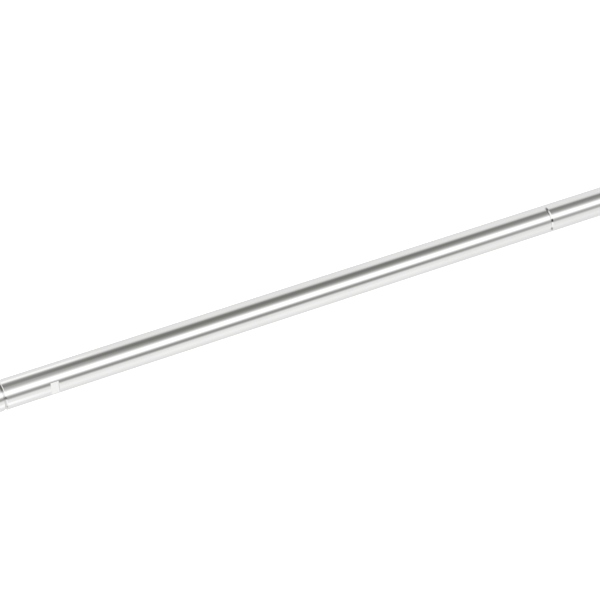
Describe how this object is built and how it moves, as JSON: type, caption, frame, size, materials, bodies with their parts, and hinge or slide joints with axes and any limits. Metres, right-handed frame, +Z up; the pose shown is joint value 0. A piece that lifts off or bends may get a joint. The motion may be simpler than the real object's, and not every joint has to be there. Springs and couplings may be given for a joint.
{
  "type": "window security bar",
  "caption": "Round polished steel window security bar in screwed sections, turned to jack a padded foot against the reveal and locked by a hexagon nut.",
  "frame": {"origin": "centre of the left foot's wall face, on the bar's own axis", "axes": "+X along the bar towards the right foot, +Y back towards the window pane, +Z up"},
  "size_m": [1.1223, 0.072, 0.072],
  "materials": {
    "polished_tube": "mirror polished stainless steel",
    "satin_steel": "turned and satin brushed",
    "turned_steel": "fine turned",
    "bright_steel": "bright zinc plated",
    "black_steel": "black oxide",
    "hardened_steel": "hardened, ground",
    "bronze": "machined bronze",
    "nylon": "natural nylon",
    "rubber": "matt black"
  },
  "bodies": {
    "left_foot": {"left_wall_pad": "rubber", "left_foot_plate": "satin_steel", "left_foot_screw": "black_steel", "left_hub": "satin_steel", "left_cross_pin": "bright_steel", "pivot_pin": "turned_steel", "thrust_washer": "bronze"},
    "bar": {"left_tube": "polished_tube", "middle_tube": "polished_tube", "right_tube": "polished_tube", "pivot_plug": "turned_steel", "jack_nut": "bronze", "left_set_screw_top": "black_steel", "left_set_screw_bottom": "black_steel", "right_set_screw_top": "black_steel", "right_set_screw_bottom": "black_steel", "left_joint_plug_a": "turned_steel", "left_joint_plug_b": "turned_steel", "left_joint_stud": "black_steel", "right_joint_plug_a": "turned_steel", "right_joint_plug_b": "turned_steel", "right_joint_stud": "black_steel", "left_core_bush_a": "nylon", "left_core_bush_b": "nylon", "middle_core_bush_a": "nylon", "middle_core_bush_b": "nylon", "right_core_bush_a": "nylon", "right_core_bush_b": "nylon"},
    "right_foot": {"right_wall_pad": "rubber", "right_foot_plate": "satin_steel", "right_foot_screw": "black_steel", "right_hub": "satin_steel", "right_cross_pin": "bright_steel", "jack_spindle": "turned_steel", "stop_collar": "bright_steel", "collar_screw": "black_steel"},
    "lock_washer": {"lock_washer": "bright_steel"},
    "lock_nut": {"lock_nut": "bright_steel"},
    "left_core": {"left_core_rod": "hardened_steel"},
    "middle_core": {"middle_core_rod": "hardened_steel"},
    "right_core": {"right_core_rod": "hardened_steel"}
  },
  "joints": [
    {"name": "bar_turn", "type": "hinge", "parent": "left_foot", "child": "bar", "pos_m": [0.0351, 0, 0], "axis": [-1, 0, 0], "range_deg": [-900, 5400]},
    {"name": "right_foot_slide", "type": "slide", "parent": "left_foot", "child": "right_foot", "axis": [1, 0, 0], "range_m": [-0.01, 0.06]},
    {"name": "lock_washer_slide", "type": "slide", "parent": "bar", "child": "lock_washer", "axis": [1, 0, 0], "range_m": [0, 0.006]},
    {"name": "lock_nut_turn", "type": "hinge", "parent": "lock_washer", "child": "lock_nut", "pos_m": [1.0614, 0, 0], "axis": [1, 0, 0], "range_deg": [0, 540]},
    {"name": "left_core_roll", "type": "hinge", "parent": "bar", "child": "left_core", "pos_m": [0.17, 0, 0], "axis": [1, 0, 0], "continuous": true},
    {"name": "middle_core_roll", "type": "hinge", "parent": "bar", "child": "middle_core", "pos_m": [0.5451, 0, 0], "axis": [1, 0, 0], "continuous": true},
    {"name": "right_core_roll", "type": "hinge", "parent": "bar", "child": "right_core", "pos_m": [0.88, 0, 0], "axis": [1, 0, 0], "continuous": true}
  ],
  "couplings": [
    {"joint": "right_foot_slide", "follows": "bar_turn", "m_per_rad": 0.00063662},
    {"joint": "lock_washer_slide", "follows": "lock_nut_turn", "m_per_rad": 0.00063662}
  ]
}
